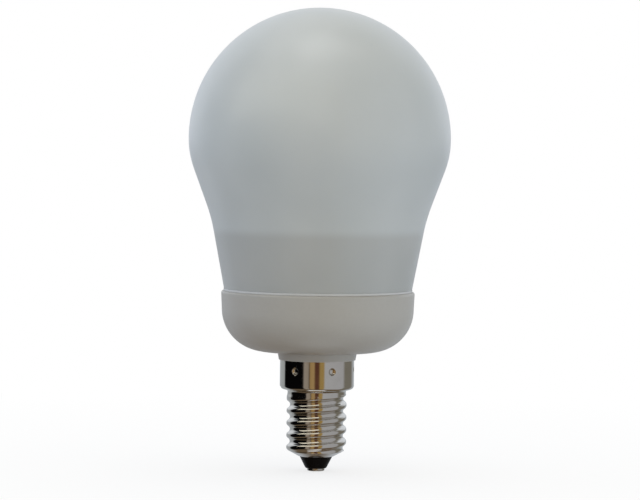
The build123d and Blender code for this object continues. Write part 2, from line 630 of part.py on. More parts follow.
with BuildPart() as feedback_core:
    with BuildSketch(Plane(RING_CENTRE).offset(RING_TOP)):
        Circle(RING_DIA / 2)
        Circle(RING_BORE / 2, mode=Mode.SUBTRACT)
    extrude(amount=-RING_HEIGHT)
    fillet(feedback_core.edges().filter_by(GeomType.CIRCLE), RING_ROUND)
finish(feedback_core, "feedback_core")

with BuildPart() as ring_turn:
    turn_in = RING_BORE / 2 - RING_WIRE_R - BOND_GAP
    turn_out = RING_DIA / 2 + RING_WIRE_R + BOND_GAP
    turn_top = RING_TOP + RING_WIRE_R + BOND_GAP
    turn_bottom = RING_TOP - RING_HEIGHT - RING_WIRE_R - BOND_GAP
    with BuildLine(Plane.XZ) as turn_line:
        FilletPolyline(
            (turn_in, turn_top),
            (turn_out, turn_top),
            (turn_out, turn_bottom),
            (turn_in, turn_bottom),
            radius=RING_WIRE_DIA,
            close=True,
        )
    turn_path = turn_line.wire()
    with BuildSketch(Plane(origin=turn_path @ 0, z_dir=turn_path % 0)):
        Circle(RING_WIRE_R)
    sweep(path=turn_path)

with BuildPart() as feedback_windings:
    for winding, turns in enumerate(RING_TURNS):
        first_turn = 360 * winding / len(RING_TURNS)
        with Locations(RING_CENTRE):
            with PolarLocations(0, turns, start_angle=first_turn, angular_range=turns * RING_TURN_STEP):
                add(ring_turn.part)
finish(feedback_windings, "feedback_windings")

# Film capacitors: dipped blocks on two pins
with BuildPart() as film_block:
    with BuildSketch(Plane.XY.offset(-FILM_STAND)):
        Rectangle(FILM_THICK, FILM_WIDTH)
    extrude(amount=-FILM_HEIGHT)
    fillet(film_block.edges(), FILM_ROUND)
    with BuildSketch(Plane.XY.offset(-FILM_STAND - FILM_ROUND)):
        with GridLocations(0, FILM_WIDTH - 2 * FILM_ROUND - 2 * PIN_DIA, 1, 2):
            Circle(PIN_DIA / 2)
    extrude(amount=FILM_STAND + FILM_ROUND)

with BuildPart() as film_capacitors:
    film_r = sqrt(RIM_PART_R**2 - (FILM_WIDTH / 2) ** 2) - FILM_THICK / 2
    for angle in FILM_ANGLES:
        with Locations(Location(polar(film_r, angle, BOARD_Z), (0, 0, angle))):
            add(film_block.part)
finish(film_capacitors, "film_capacitors")

# Switching transistors: moulded bodies with one flat face, on three pins
with BuildPart() as transistor:
    with BuildSketch(Plane.XY.offset(-TRANSISTOR_STAND)):
        Circle(TRANSISTOR_DIA / 2)
        with Locations((TRANSISTOR_FLAT, 0)):
            Rectangle(TRANSISTOR_DIA, TRANSISTOR_DIA, align=(Align.MIN, Align.CENTER), mode=Mode.SUBTRACT)
    extrude(amount=-TRANSISTOR_HEIGHT)
    with BuildSketch(Plane.XY.offset(-TRANSISTOR_STAND)):
        with GridLocations(0, TRANSISTOR_PIN_SPACING, 1, 3):
            Rectangle(PIN_DIA, PIN_DIA)
    extrude(amount=TRANSISTOR_STAND)

with BuildPart() as switching_transistors:
    transistor_r = RIM_PART_R - TRANSISTOR_DIA / 2
    for angle in TRANSISTOR_ANGLES:
        with Locations(Location(polar(transistor_r, angle, BOARD_Z), (0, 0, angle))):
            add(transistor.part)
finish(switching_transistors, "switching_transistors")


def standing_axial(body_dia, body_length):
    """Axial component on end below the board, with its lower lead looped back up beside it."""
    body_end = -AXIAL_STAND - body_length
    loop_x = -body_dia / 2 - AXIAL_GAP - AXIAL_LEAD_DIA / 2
    with BuildPart() as component:
        with BuildSketch(Plane.XY.offset(-AXIAL_STAND)):
            Circle(body_dia / 2)
        extrude(amount=-body_length)
        fillet(component.edges(), AXIAL_GAP)
        with BuildLine(Plane.XZ) as lead_line:
            FilletPolyline(
                (0, 0),
                (0, body_end - AXIAL_LOOP),
                (loop_x, body_end - AXIAL_LOOP),
                (loop_x, 0),
                radius=AXIAL_LEAD_DIA,
            )
        with BuildSketch(Plane.XY):
            Circle(AXIAL_LEAD_DIA / 2)
        sweep(path=lead_line.wire())
    return component.part


# Rectifier diodes, around the can
with BuildPart() as rectifier_diodes:
    diode_r = CAN_R + AXIAL_GAP + AXIAL_LEAD_DIA + AXIAL_GAP + DIODE_DIA / 2
    for angle in DIODE_ANGLES:
        with Locations(Location(polar(diode_r, angle, BOARD_Z), (0, 0, angle))):
            add(standing_axial(DIODE_DIA, DIODE_LENGTH))
finish(rectifier_diodes, "rectifier_diodes")

# Fusible resistor in the supply
with BuildPart() as fuse_resistor:
    with Locations(Location(polar(RIM_PART_R - FUSE_DIA / 2, FUSE_ANGLE, BOARD_Z), (0, 0, FUSE_ANGLE))):
        add(standing_axial(FUSE_DIA, FUSE_LENGTH))
finish(fuse_resistor, "fuse_resistor")

# Supply wires: the live one to the eyelet, the neutral one to the inside of the barrel
with BuildPart() as live_wire:
    live_plane = Plane(origin=(0, 0, 0), x_dir=polar(1, LIVE_ANGLE), z_dir=polar(1, LIVE_ANGLE - 90))
    with BuildLine(live_plane) as live_line:
        FilletPolyline(
            (WIRE_CIRCLE_R, BOARD_Z),
            (WIRE_CIRCLE_R, CAP_HEIGHT - LIVE_DROP),
            (0, LIVE_REACH),
            (0, CONTACT_HEIGHT + SLIDE_GAP),
            radius=WIRE_BEND,
        )
    with BuildSketch(Plane(origin=live_line.wire() @ 0, z_dir=live_line.wire() % 0)):
        Circle(WIRE_R)
    sweep(path=live_line.wire())
finish(live_wire, "live_wire")

with BuildPart() as neutral_wire:
    with BuildSketch(Plane(polar(WIRE_CIRCLE_R, NEUTRAL_ANGLE, BARREL_END_Z))):
        Circle(WIRE_R)
    extrude(amount=BOARD_Z - BARREL_END_Z)
finish(neutral_wire, "neutral_wire")
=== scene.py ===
# %% [markdown]
# # A compact fluorescent bulb with an opal globe
#
# The bulb stands on its contact, globe up: a blown glass globe, coated white, on a moulded housing,
# over a small screw cap of bright plated sheet. The CAD model gives every piece its size and place.
# This lesson gives each surface its finish. It also remakes the three pieces whose making shows in
# the surface itself: the blown globe, the rolled cap and the bead of silicone at the globe's foot.

from math import acos, atan2, ceil, cos, degrees, pi, radians, sin, tan

import bmesh
import bpy
from mathutils import Matrix, Vector, noise


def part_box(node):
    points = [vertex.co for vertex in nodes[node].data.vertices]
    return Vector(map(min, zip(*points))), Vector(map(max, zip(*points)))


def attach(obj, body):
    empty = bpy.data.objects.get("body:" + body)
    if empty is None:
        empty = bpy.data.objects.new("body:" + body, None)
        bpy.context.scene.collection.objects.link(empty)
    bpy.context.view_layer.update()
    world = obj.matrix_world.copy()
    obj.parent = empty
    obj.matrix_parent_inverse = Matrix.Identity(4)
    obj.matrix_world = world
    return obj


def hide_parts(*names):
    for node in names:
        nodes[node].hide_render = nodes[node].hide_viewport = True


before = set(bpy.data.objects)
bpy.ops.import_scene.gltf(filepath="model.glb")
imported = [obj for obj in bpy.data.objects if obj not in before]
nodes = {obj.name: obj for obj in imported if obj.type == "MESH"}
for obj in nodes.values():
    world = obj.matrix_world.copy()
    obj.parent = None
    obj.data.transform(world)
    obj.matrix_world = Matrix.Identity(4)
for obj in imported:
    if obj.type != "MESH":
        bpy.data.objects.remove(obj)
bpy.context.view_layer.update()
MM = 0.001
print("nodes:", ", ".join(sorted(nodes)))

# %% [markdown]
# ## Small tools
#
# Colours are picked as sRGB hex values, the way a paint program shows them, but shaders add up light
# and need linear numbers. Node trees could be drawn by hand in Blender's editor. Here every tree, for
# shapes and for finishes, is built by one function that adds a node, sets it and links it, so that
# each link can be read and the whole can be run again.

# %% Colours and nodes


def linear(colour):
    """Linear RGBA of an sRGB hex colour."""
    channels = [int(colour[start : start + 2], 16) / 255 for start in (1, 3, 5)]
    return tuple(c / 12.92 if c <= 0.04045 else ((c + 0.055) / 1.055) ** 2.4 for c in channels) + (1.0,)


def add_node(tree, kind, settings=None, links=None):
    """Adds a node with its settings. Each link feeds an input from a socket or with a value."""
    node = tree.nodes.new(kind)
    for name, value in (settings or {}).items():
        setattr(node, name, value)
    for name, source in (links or {}).items():
        if isinstance(source, bpy.types.NodeSocket):
            tree.links.new(source, node.inputs[name])
        else:
            node.inputs[name].default_value = source
    return node


def new_material(name):
    """A new material and its node tree, which starts with a Principled shader."""
    material = bpy.data.materials.new(name)
    material.use_nodes = True
    return material, material.node_tree


print("mid grey #808080 is", round(linear("#808080")[0], 3), "in linear light")

# %% [markdown]
# ## Turned outlines
#
# The globe, the cap and the bead are round about the Z axis, so each starts as half an outline:
# straight runs with arcs at the corners, as on a drawing. One function rounds the corners, one makes
# an arc and one divides the runs.

# %% Outlines
LEAST_STEPS = 5


def rounded(corners, spacing):
    """Points along an outline. A corner is its distance from the axis, its height and its rounding."""
    points = [Vector(corners[0][:2])]
    for before, corner, after in zip(corners, corners[1:], corners[2:]):
        middle = Vector(corner[:2])
        way_in = (middle - Vector(before[:2])).normalized()
        way_out = (Vector(after[:2]) - middle).normalized()
        turn = atan2(way_in.cross(way_out), way_in.dot(way_out))
        start = middle - way_in * corner[2] * tan(abs(turn) / 2)
        side = Vector((-way_in.y, way_in.x)) if turn > 0 else Vector((way_in.y, -way_in.x))
        points += arc(start + side * corner[2], start, turn, spacing)
    points.append(Vector(corners[-1][:2]))
    return points


def arc(centre, start, turn, spacing):
    """Points along an arc about a centre, from its start through a turn in radians."""
    spoke = start - centre
    steps = max(LEAST_STEPS, ceil(abs(turn) * spoke.length / spacing))
    return [centre + Matrix.Rotation(turn * step / steps, 2) @ spoke for step in range(steps + 1)]


def divided(points, spacing):
    """The same outline with its long runs divided."""
    result = [points[0]]
    for start, end in zip(points, points[1:]):
        steps = ceil((end - start).length / spacing)
        result += [start.lerp(end, (step + 1) / steps) for step in range(steps)]
    return result


quarter = arc(Vector((0, 0)), Vector((10 * MM, 0)), pi / 2, MM)
print("a quarter arc of 10 mm radius has", len(quarter), "points 1 mm apart")

# %% [markdown]
# ## Turning and settling
#
# Spin would turn an outline about the axis too, but it leaves a seam to merge. Here each ring of
# points is shared by its neighbours, so there is none. A finished piece keeps no modifier: what its
# modifiers make becomes its plain mesh.

# %% Turning and settling
# Distances in metres, from the axis and between two points, that count as none
ON_AXIS = 1e-6
SAME_PLACE = 1e-7
SHARP_ANGLE = radians(50)


def turned(name, outline, segments):
    """Mesh of an outline turned about the Z axis. A point on the axis becomes a pole."""
    work = bmesh.new()
    rings = []
    for radius, height in outline:
        angles = [2 * pi * step / segments for step in range(segments)] if radius > ON_AXIS else [0]
        rings.append([work.verts.new((radius * cos(a), radius * sin(a), height)) for a in angles])
    for lower, upper in zip(rings, rings[1:]):
        for step in range(segments):
            near = step % len(lower), step % len(upper)
            far = (step + 1) % len(lower), (step + 1) % len(upper)
            corners = lower[near[0]], lower[far[0]], upper[far[1]], upper[near[1]]
            work.faces.new(dict.fromkeys(corners))
    bmesh.ops.remove_doubles(work, verts=work.verts, dist=SAME_PLACE)
    bmesh.ops.recalc_face_normals(work, faces=work.faces)
    mesh = bpy.data.meshes.new(name)
    work.to_mesh(mesh)
    work.free()
    return mesh


def new_piece(name, mesh):
    """A new object with this mesh, at the origin."""
    piece = bpy.data.objects.new(name, mesh)
    bpy.context.collection.objects.link(piece)
    return piece


def settle(piece):
    """Turns a piece and its modifiers into a plain smooth mesh."""
    evaluated = piece.evaluated_get(bpy.context.evaluated_depsgraph_get())
    mesh = bpy.data.meshes.new_from_object(evaluated)
    piece.modifiers.clear()
    piece.data = mesh
    mesh.shade_smooth()
    mesh.set_sharp_from_angle(angle=SHARP_ANGLE)
    mesh.calc_loop_triangles()
    print(piece.name, len(mesh.loop_triangles), "triangles")


print("edges over", round(degrees(SHARP_ANGLE)), "degrees stay sharp")

# %% [markdown]
# ## Opal glass
#
# Soda glass, blown, with a white powder coat baked on the inside. The outer skin is as glossy as any
# glass, and the coat scatters light: what stands close behind it shows as a soft shade, and what is
# further back doesn't show at all. Subsurface scattering could do that, slowly. One plain shader does
# most of it: its rough, part-clear body is the coat, and its clear coat on top is the skin. The coat's
# thickness drifts by a few percent over a few centimetres, and the skin has the faint ripple of blown
# glass. The powder's grains are too fine to show, so they are drawn a millimetre wide. Below the top
# of the tube's holder there is plastic close behind the coat instead of bright space, so the coat
# would be shaded down there. That shade is painted: the coat's colour is darkened below a little
# above the holder's top, with a soft edge a few millimetres tall.

# %% Opal glass
DRIFT_SIZE = 24 * MM
POWDER_SIZE = 1.2 * MM
RIPPLE_SIZE = 9 * MM
RIPPLE_HEIGHT = 0.1 * MM
PAINTED_SHADE_START = 1.7 * MM
PAINTED_SHADE_END = -0.8 * MM
holder_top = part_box("tube_holder")[1].z


def opal_glass():
    material, tree = new_material("opal_glass_blown")
    shader = tree.nodes["Principled BSDF"]
    place = add_node(tree, "ShaderNodeTexCoord").outputs["Object"]
    drift = add_node(
        tree, "ShaderNodeTexNoise", None, {"Vector": place, "Scale": 1 / DRIFT_SIZE, "Detail": 2.0}
    )
    colour = add_node(
        tree, "ShaderNodeMix", {"data_type": "RGBA"},
        {0: drift.outputs["Fac"], 6: linear("#C1C7C6"), 7: linear("#D9DCDA")},
    )
    height = add_node(tree, "ShaderNodeSeparateXYZ", None, {"Vector": place}).outputs["Z"]
    # Painted shade: the coat's colour is multiplied darker below a little above the holder's top, with a
    # soft edge
    painted_shade_share = add_node(
        tree, "ShaderNodeMapRange", {"interpolation_type": "SMOOTHSTEP"},
        {"Value": height, "From Min": holder_top + PAINTED_SHADE_START, "From Max": holder_top + PAINTED_SHADE_END},
    )
    painted_shade = add_node(
        tree, "ShaderNodeMix", {"data_type": "RGBA", "blend_type": "MULTIPLY"},
        {0: painted_shade_share.outputs["Result"], 6: colour.outputs[2], 7: linear("#EDEBE9")},
    )
    powder = add_node(
        tree, "ShaderNodeTexNoise", None, {"Vector": place, "Scale": 1 / POWDER_SIZE, "Detail": 3.0}
    )
    rough = add_node(
        tree, "ShaderNodeMapRange", None, {"Value": powder.outputs["Fac"], "To Min": 0.5, "To Max": 0.6}
    )
    ripple = add_node(
        tree, "ShaderNodeTexNoise", None, {"Vector": place, "Scale": 1 / RIPPLE_SIZE, "Detail": 1.0}
    )
    bump = add_node(
        tree, "ShaderNodeBump", None,
        {"Height": ripple.outputs["Fac"], "Strength": 0.15, "Distance": RIPPLE_HEIGHT},
    )
    tree.links.new(painted_shade.outputs[2], shader.inputs["Base Color"])
    tree.links.new(rough.outputs["Result"], shader.inputs["Roughness"])
    tree.links.new(bump.outputs["Normal"], shader.inputs["Coat Normal"])
    fixed = {
        "IOR": 1.5,
        "Transmission Weight": 0.2,
        "Coat Weight": 1.0,
        "Coat Roughness": 0.3,
        "Coat IOR": 1.5,
    }
    for name, value in fixed.items():
        shader.inputs[name].default_value = value
    return material


OPAL_GLASS = opal_glass()
print("made", OPAL_GLASS.name)

# %% [markdown]
# ## The globe
#
# A sphere that narrows through a throat to a lip, with a straight neck down inside the housing's rim.
# It could be pulled out of a sphere by hand, but an outline with the drawing's own sizes falls just
# where the CAD model is. The shoulder's arc meets the sphere at its widest circle, and a straight
# flank runs from the arc to the throat.

# %% Outline of the globe
SHOULDER_RADIUS = 20 * MM
THROAT_INSET = 5.35 * MM
THROAT_DROP = 18.1 * MM
THROAT_BLEND = 40 * MM
LIP_RADIUS = 21.5 * MM
LIP_LIFT = 0.1 * MM
LIP_ROUND = 1.2 * MM
NECK_RADIUS = 20.8 * MM
GLASS_ROW = 0.6 * MM

globe_low, globe_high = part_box("globe_cover")
rim_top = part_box("housing")[1].z
globe_radius = globe_high.x
globe_middle = globe_high.z - globe_radius
lip = Vector((LIP_RADIUS, rim_top + LIP_LIFT))
neck_top = lip.y - (lip.x - NECK_RADIUS)
throat = Vector((globe_radius - THROAT_INSET, globe_middle - THROAT_DROP))
shoulder = Vector((globe_radius - SHOULDER_RADIUS, globe_middle))
to_throat = throat - shoulder
touch = atan2(to_throat.y, to_throat.x) + acos(SHOULDER_RADIUS / to_throat.length)
flank_end = shoulder + Vector((cos(touch), sin(touch))) * SHOULDER_RADIUS
glass_corners = (
    (NECK_RADIUS, globe_low.z, 0),
    (NECK_RADIUS, neck_top, LIP_ROUND),
    (lip.x, lip.y, LIP_ROUND),
    (throat.x, throat.y, THROAT_BLEND),
    (flank_end.x, flank_end.y, 0),
)
widest = Vector((globe_radius, globe_middle))
glass_outline = rounded(glass_corners, GLASS_ROW)
glass_outline += arc(shoulder, flank_end, -touch, GLASS_ROW)[1:]
glass_outline += arc(Vector((0, globe_middle)), widest, pi / 2, GLASS_ROW)[1:]
print("globe", round(2 * globe_radius / MM, 1), "mm across, throat", round(2 * throat.x / MM, 1), "mm")

# %% [markdown]
# A blown globe is never a perfect turning. A bump in the material could hint at that, but the outline
# of the glass would stay too true. So the skin itself is moved in by a few hundredths of a millimetre
# in broad waves, before Solidify gives the wall its thickness.

# %% Globe
GLASS_WALL = 0.8 * MM
WAVE_LENGTH = 22 * MM
WAVE_DEPTH = 0.04 * MM
SEGMENTS = 240

globe_mesh = turned("opal_globe", divided(glass_outline, GLASS_ROW), SEGMENTS)
outward = [vertex.normal.copy() for vertex in globe_mesh.vertices]
for vertex, normal in zip(globe_mesh.vertices, outward):
    # Noise runs from -1 to 1, and the skin only moves in, so it stays within the CAD piece
    wave = 0.5 + 0.5 * noise.noise(vertex.co / WAVE_LENGTH)
    vertex.co -= normal * WAVE_DEPTH * wave
globe = new_piece("opal_globe", globe_mesh)
globe_wall = globe.modifiers.new("wall", "SOLIDIFY")
globe_wall.thickness = GLASS_WALL
settle(globe)
globe.data.materials.append(OPAL_GLASS)

# %% [markdown]
# ## Bright nickel plate
#
# The cap is drawn from thin sheet, then plated bright. It mirrors the room, a little blurred, with
# fine rings that the drawing and rolling tools leave round it. A plain metal with one roughness would
# look like chrome. Here the blur comes and goes in smears a few millimetres wide, and the rings are a
# faint bump along the height. Real ones are too fine to show, so they are drawn further apart.

# %% Nickel plate
RING_SPACING = 0.35 * MM
RING_HEIGHT = 0.03 * MM
SMEAR_SIZE = 2.5 * MM
# Noise rarely leaves this range, so it is stretched to the full one
NOISE_LOW = 0.3
NOISE_HIGH = 0.7


def nickel_plate():
    material, tree = new_material("nickel_plate_on_rolled_sheet")
    shader = tree.nodes["Principled BSDF"]
    place = add_node(tree, "ShaderNodeTexCoord").outputs["Object"]
    height = add_node(tree, "ShaderNodeSeparateXYZ", None, {"Vector": place}).outputs["Z"]
    rings = add_node(
        tree, "ShaderNodeTexNoise", {"noise_dimensions": "1D"},
        {"W": height, "Scale": 1 / RING_SPACING, "Detail": 3.0},
    )
    smears = add_node(
        tree, "ShaderNodeTexNoise", None, {"Vector": place, "Scale": 1 / SMEAR_SIZE, "Detail": 4.0}
    )
    colour = add_node(
        tree, "ShaderNodeMix", {"data_type": "RGBA"},
        {0: smears.outputs["Fac"], 6: linear("#D2CFC9"), 7: linear("#E0DEDA")},
    )
    rough = add_node(
        tree, "ShaderNodeMapRange", None,
        {
            "Value": smears.outputs["Fac"], "From Min": NOISE_LOW, "From Max": NOISE_HIGH,
            "To Min": 0.05, "To Max": 0.13,
        },
    )
    bump = add_node(
        tree, "ShaderNodeBump", None,
        {"Height": rings.outputs["Fac"], "Strength": 0.12, "Distance": RING_HEIGHT},
    )
    tree.links.new(colour.outputs[2], shader.inputs["Base Color"])
    tree.links.new(rough.outputs["Result"], shader.inputs["Roughness"])
    tree.links.new(bump.outputs["Normal"], shader.inputs["Normal"])
    shader.inputs["Metallic"].default_value = 1.0
    return material


NICKEL_PLATE = nickel_plate()
print("made", NICKEL_PLATE.name)

# %% [markdown]
# ## The rolled cap
#
# A drawn cup becomes a screw cap between two rollers: they press a round groove into it, which climbs
# one pitch per turn and runs out under the plain barrel. Six stakes then lock its skirt to the
# housing. A coil laid round a pipe would look much the same, but the cap is one sheet. Groove and
# stakes are rules, so Geometry Nodes make them in the sheet: for each point of the turned cup, the
# tree works out how far in the rollers or a stake would push it. Each row of the tables below is one
# Math node, with its name, its operation and what it reads.

# %% What the rollers and the stakes do
ROLLING = (
    ("turn", "SUBTRACT", "angle", "Phase"),
    ("turn", "DIVIDE", "turn", 2 * pi),
    ("rise", "SUBTRACT", "z", "Start"),
    ("rise", "DIVIDE", "rise", "Pitch"),
    # Grooves lie at whole numbers of this count, and the wave is one groove and half of each crest
    ("count", "SUBTRACT", "rise", "turn"),
    ("groove", "ROUND", "count", 0),
    ("from_root", "SUBTRACT", "count", "groove"),
    ("from_root", "ABSOLUTE", "from_root", 0),
    ("from_root", "MULTIPLY", "from_root", "Pitch"),
    ("half_pitch", "MULTIPLY", "Pitch", 0.5),
    ("from_crest", "SUBTRACT", "half_pitch", "from_root"),
    # Root and crest are arcs of one radius, so the nearer of the two gives the fall from it
    ("nearer", "MINIMUM", "from_root", "from_crest"),
    ("nearer_square", "POWER", "nearer", 2),
    ("fall", "POWER", "Arc Radius", 2),
    ("fall", "SUBTRACT", "fall", "nearer_square"),
    ("fall", "SQRT", "fall", 0),
    ("fall", "SUBTRACT", "Arc Radius", "fall"),
    ("at_root", "LESS_THAN", "from_root", "from_crest"),
    ("root_depth", "SUBTRACT", "Depth", "fall"),
    ("root_depth", "SUBTRACT", "root_depth", "fall"),
    ("depth", "MULTIPLY_ADD", "at_root", "root_depth", "fall"),
    # Past its last full turn the groove climbs out of the sheet
    ("run_out", "ADD", "groove", "turn"),
    ("run_out", "SUBTRACT", "run_out", "Turns"),
    ("run_out", "MAXIMUM", "run_out", 0),
    ("run_out", "MULTIPLY", "run_out", "Pitch"),
    ("rolled", "SUBTRACT", "Crest Radius", "depth"),
    ("rolled", "ADD", "rolled", "run_out"),
    ("rolled", "MINIMUM", "rolled", "radius"),
)
STAKING = (
    ("sector", "DIVIDE", 2 * pi, "Stakes"),
    ("half_sector", "MULTIPLY", "sector", 0.5),
    ("minus_half", "MULTIPLY", "sector", -0.5),
    ("aside", "SUBTRACT", "angle", "Stake Angle"),
    ("aside", "WRAP", "aside", "half_sector", "minus_half"),
    ("across", "SINE", "aside", 0),
    ("across", "MULTIPLY", "across", "Stake Circle"),
    ("along", "COSINE", "aside", 0),
    ("along", "MULTIPLY", "along", "Stake Circle"),
    ("up", "SUBTRACT", "z", "Stake Height"),
    # The punch's round end: its depth at this place, or none outside its rim
    ("across", "POWER", "across", 2),
    ("up", "POWER", "up", 2),
    ("reach", "POWER", "Punch Radius", 2),
    ("reach", "SUBTRACT", "reach", "across"),
    ("reach", "SUBTRACT", "reach", "up"),
    ("missed", "LESS_THAN", "reach", 0),
    ("dent", "SQRT", "reach", 0),
    ("dent", "SUBTRACT", "along", "dent"),
    ("dent", "MULTIPLY_ADD", "missed", "Stake Circle", "dent"),
    ("staked", "MINIMUM", "rolled", "dent"),
    ("stretch", "DIVIDE", "staked", "radius"),
)
print(len(ROLLING), "steps of rolling,", len(STAKING), "of staking")

# %% Geometry Nodes tree that rolls and stakes the cup
CAP_SIZES = (
    "Crest Radius", "Depth", "Pitch", "Arc Radius", "Phase", "Start", "Turns",
    "Stakes", "Stake Angle", "Stake Height", "Stake Circle", "Punch Radius",
)


def rolling_tree():
    tree = bpy.data.node_groups.new("rolled_cap", "GeometryNodeTree")
    tree.interface.new_socket("Geometry", in_out="INPUT", socket_type="NodeSocketGeometry")
    for size in CAP_SIZES:
        tree.interface.new_socket(size, in_out="INPUT", socket_type="NodeSocketFloat")
    tree.interface.new_socket("Material", in_out="INPUT", socket_type="NodeSocketMaterial")
    tree.interface.new_socket("Geometry", in_out="OUTPUT", socket_type="NodeSocketGeometry")
    given = add_node(tree, "NodeGroupInput")
    point = add_node(tree, "GeometryNodeInputPosition").outputs["Position"]
    axes = add_node(tree, "ShaderNodeSeparateXYZ", None, {"Vector": point})
    flat = add_node(tree, "ShaderNodeCombineXYZ", None, {"X": axes.outputs["X"], "Y": axes.outputs["Y"]})
    angle = add_node(
        tree, "ShaderNodeMath", {"operation": "ARCTAN2"}, {0: axes.outputs["Y"], 1: axes.outputs["X"]}
    )
    radius = add_node(tree, "ShaderNodeVectorMath", {"operation": "LENGTH"}, {0: flat.outputs["Vector"]})
    value = {size: given.outputs[size] for size in CAP_SIZES}
    value["z"] = axes.outputs["Z"]
    value["angle"] = angle.outputs["Value"]
    value["radius"] = radius.outputs["Value"]
    for name, operation, *reads in ROLLING + STAKING:
        links = {slot: value.get(read, read) for slot, read in enumerate(reads)}
        value[name] = add_node(tree, "ShaderNodeMath", {"operation": operation}, links).outputs["Value"]
    pressed = add_node(
        tree, "ShaderNodeVectorMath", {"operation": "SCALE"},
        {0: flat.outputs["Vector"], "Scale": value["stretch"]},
    )
    lifted = add_node(tree, "ShaderNodeCombineXYZ", None, {"Z": axes.outputs["Z"]})
    target = add_node(
        tree, "ShaderNodeVectorMath", {"operation": "ADD"},
        {0: pressed.outputs["Vector"], 1: lifted.outputs["Vector"]},
    )
    moved = add_node(
        tree, "GeometryNodeSetPosition", None,
        {"Geometry": given.outputs["Geometry"], "Position": target.outputs["Vector"]},
    )
    whole = add_node(tree, "GeometryNodeRealizeInstances", None, {"Geometry": moved.outputs["Geometry"]})
    plated = add_node(
        tree, "GeometryNodeSetMaterial", None,
        {"Geometry": whole.outputs["Geometry"], "Material": given.outputs["Material"]},
    )
    add_node(tree, "NodeGroupOutput", None, {"Geometry": plated.outputs["Geometry"]})
    return tree


ROLLED_CAP = rolling_tree()
print(ROLLED_CAP.name, "has", len(ROLLED_CAP.nodes), "nodes")

# %% [markdown]
# The cup before rolling is a turned outline again: skirt, shoulder, plain barrel, the wall that takes
# the thread, and the end cone. Its sizes are those of the drawing, and its place is the CAD node's.
# The wall that takes the thread has closer rows than the skirt, because the rollers bend it most.

# %% Cup before rolling
SKIRT_HEIGHT = 6.55 * MM
SKIRT_CORNER = 0.9 * MM
SHOULDER_DROP = 0.5 * MM
BARREL_RADIUS = 6.7 * MM
BARREL_HEIGHT = 0.7 * MM
BARREL_CORNER = 0.4 * MM
BARREL_BLEND = 0.8 * MM
BLEND_RADIUS = 1.5 * MM
CREST_RADIUS = 6.9 * MM
CREST_LAND = 0.02 * MM
CONE_HEIGHT = 1.5 * MM
CONE_ROUND = 0.8 * MM
CONE_END_RADIUS = 4.1 * MM
SKIRT_ROW = 0.16 * MM
THREAD_ROW = 0.12 * MM

shell_low, shell_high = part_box("screw_shell")
skirt_radius = shell_high.x
skirt_end = shell_high.z - SKIRT_HEIGHT
barrel_top = skirt_end - SHOULDER_DROP
barrel_end = barrel_top - BARREL_HEIGHT
crest_top = barrel_end - BARREL_BLEND
crest_end = shell_low.z + CONE_HEIGHT
cup_corners = (
    (skirt_radius, shell_high.z, 0),
    (skirt_radius, skirt_end, SKIRT_CORNER),
    (BARREL_RADIUS, barrel_top, BARREL_CORNER),
    (BARREL_RADIUS, barrel_end, BLEND_RADIUS),
    (CREST_RADIUS - CREST_LAND, crest_top, BLEND_RADIUS),
    (CREST_RADIUS - CREST_LAND, crest_end, CONE_ROUND),
    (CONE_END_RADIUS, shell_low.z, 0),
)
cup_outline = rounded(cup_corners, THREAD_ROW)
skirt_part = [point for point in cup_outline if point.y > barrel_end]
thread_part = [point for point in cup_outline if point.y <= barrel_end]
cup_outline = divided(skirt_part, SKIRT_ROW) + divided([skirt_part[-1]] + thread_part, THREAD_ROW)[1:]
cap = new_piece("rolled_cap", turned("rolled_cap", cup_outline, SEGMENTS))
print("cup of", len(cup_outline), "rings")

# %% [markdown]
# Now the tree gets the thread's and the stakes' sizes, and Solidify gives the sheet its thickness.
# One radius for crests and roots follows from pitch and depth, and the punch's radius follows from
# the width and depth of the dent that it leaves.

# %% Thread and stakes
SHEET = 0.3 * MM
THREAD_DEPTH = 0.8 * MM
THREAD_PITCH = 2.82 * MM
# Where round the cap the groove starts, and how many pitches below the crests
THREAD_PHASE = radians(71.5)
THREAD_LEAD_IN = 0.66
STAKE_COUNT = 6
STAKE_RADIUS = 0.9 * MM
STAKE_DEPTH = 0.45 * MM
STAKE_DROP = 2.25 * MM
# Where round the cap the first stake sits
STAKE_ANGLE = radians(-66)

groove_start = crest_end - THREAD_PITCH * THREAD_LEAD_IN
groove_end = crest_top - THREAD_DEPTH / 2
arc_radius = ((THREAD_PITCH / 2) ** 2 + THREAD_DEPTH**2) / (4 * THREAD_DEPTH)
punch_radius = (STAKE_RADIUS**2 + STAKE_DEPTH**2) / (2 * STAKE_DEPTH)
cap_settings = {
    "Crest Radius": CREST_RADIUS,
    "Depth": THREAD_DEPTH,
    "Pitch": THREAD_PITCH,
    "Arc Radius": arc_radius,
    "Phase": THREAD_PHASE,
    "Start": groove_start,
    "Turns": (groove_end - groove_start) / THREAD_PITCH,
    "Stakes": STAKE_COUNT,
    "Stake Angle": STAKE_ANGLE,
    "Stake Height": shell_high.z - STAKE_DROP,
    "Stake Circle": skirt_radius - STAKE_DEPTH + punch_radius,
    "Punch Radius": punch_radius,
    "Material": NICKEL_PLATE,
}
rolling = cap.modifiers.new("rolling", "NODES")
rolling.node_group = ROLLED_CAP
for item in ROLLED_CAP.interface.items_tree:
    if item.name in cap_settings:
        rolling[item.identifier] = cap_settings[item.name]
cap_wall = cap.modifiers.new("wall", "SOLIDIFY")
cap_wall.thickness = SHEET
settle(cap)

# %% [markdown]
# ## Moulded and other plain finishes
#
# The rest of the bulb is moulded, dipped, drawn, wound or sintered, and keeps its CAD solids. Each
# finish could be a material built by itself, but they differ only in colours, grain, gloss and how
# deep the grain is. So one function makes them all from a table. Most real grains are a tenth of a
# millimetre or less and wouldn't show, so all are drawn coarser.

# %% Table of finishes
PLAIN = {}
METAL = {"metallic": 1.0}
GLAZED = {"coat": 1.0}
DULL = {"specular": 0.15}
